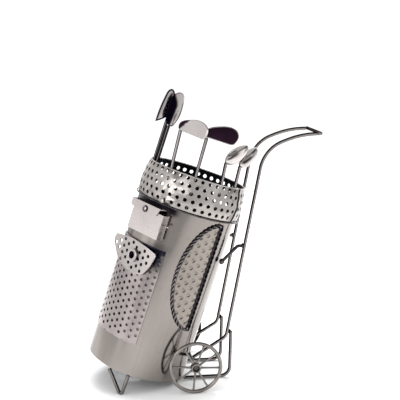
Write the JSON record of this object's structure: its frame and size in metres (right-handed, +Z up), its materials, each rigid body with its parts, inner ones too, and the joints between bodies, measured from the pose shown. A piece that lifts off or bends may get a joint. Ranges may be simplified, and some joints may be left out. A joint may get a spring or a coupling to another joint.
{
  "type": "golf bag holder on a trolley",
  "caption": "Open golf bag of rolled sheet steel with a perforated collar, pockets and clubs, leaning back on a wire trolley with two free wheels and a grip loop.",
  "frame": {"origin": "on the floor, under the middle of the object's length and width", "axes": "+Z up, +X towards the grip of the trolley, +Y towards the far wheel"},
  "size_m": [0.203, 0.1024, 0.2545],
  "materials": {
    "bag_steel": "satin, warm grey",
    "bright_steel": "hammered, polished",
    "trolley_steel": "satin wire",
    "wheel_steel": "satin wire",
    "dark_rope": "twisted wire, blackened"
  },
  "bodies": {
    "holder": {"axle": "trolley_steel", "bag_shell": "bag_steel", "base_plate": "bag_steel", "club_1_head": "bright_steel", "club_1_shaft": "trolley_steel", "club_2_head": "bright_steel", "club_2_shaft": "trolley_steel", "club_3_head": "bright_steel", "club_3_shaft": "trolley_steel", "club_4_head": "bright_steel", "club_4_shaft": "trolley_steel", "club_5_head": "bright_steel", "club_5_shaft": "trolley_steel", "club_6_head": "bright_steel", "club_6_shaft": "trolley_steel", "collar": "bright_steel", "collar_bead": "bright_steel", "far_leg": "trolley_steel", "far_rail": "trolley_steel", "far_strut": "trolley_steel", "front_foot": "trolley_steel", "grip_bar": "trolley_steel", "large_pocket_flap": "bright_steel", "large_pocket_panel": "bright_steel", "large_pocket_ring": "bright_steel", "near_leg": "trolley_steel", "near_rail": "trolley_steel", "near_strut": "trolley_steel", "side_pocket_panel": "bright_steel", "side_pocket_rope": "dark_rope", "small_pocket_lid": "bright_steel", "small_pocket_pin": "bright_steel", "small_pocket_rivet": "bright_steel", "small_pocket_tray": "bright_steel"},
    "near_wheel": {"near_wheel_hub": "wheel_steel", "near_wheel_rim": "wheel_steel", "near_wheel_spoke_1": "wheel_steel", "near_wheel_spoke_2": "wheel_steel", "near_wheel_spoke_3": "wheel_steel", "near_wheel_spoke_4": "wheel_steel", "near_wheel_spoke_5": "wheel_steel", "near_wheel_spoke_6": "wheel_steel", "near_wheel_spoke_7": "wheel_steel", "near_wheel_spoke_8": "wheel_steel"},
    "far_wheel": {"far_wheel_hub": "wheel_steel", "far_wheel_rim": "wheel_steel", "far_wheel_spoke_1": "wheel_steel", "far_wheel_spoke_2": "wheel_steel", "far_wheel_spoke_3": "wheel_steel", "far_wheel_spoke_4": "wheel_steel", "far_wheel_spoke_5": "wheel_steel", "far_wheel_spoke_6": "wheel_steel", "far_wheel_spoke_7": "wheel_steel", "far_wheel_spoke_8": "wheel_steel"}
  },
  "joints": [
    {"name": "near_wheel_spin", "type": "hinge", "parent": "holder", "child": "near_wheel", "pos_m": [-0.01498, -0.0485, 0.02305], "axis": [0, 1, 0], "continuous": true},
    {"name": "far_wheel_spin", "type": "hinge", "parent": "holder", "child": "far_wheel", "pos_m": [-0.01498, 0.0485, 0.02305], "axis": [0, 1, 0], "continuous": true}
  ]
}
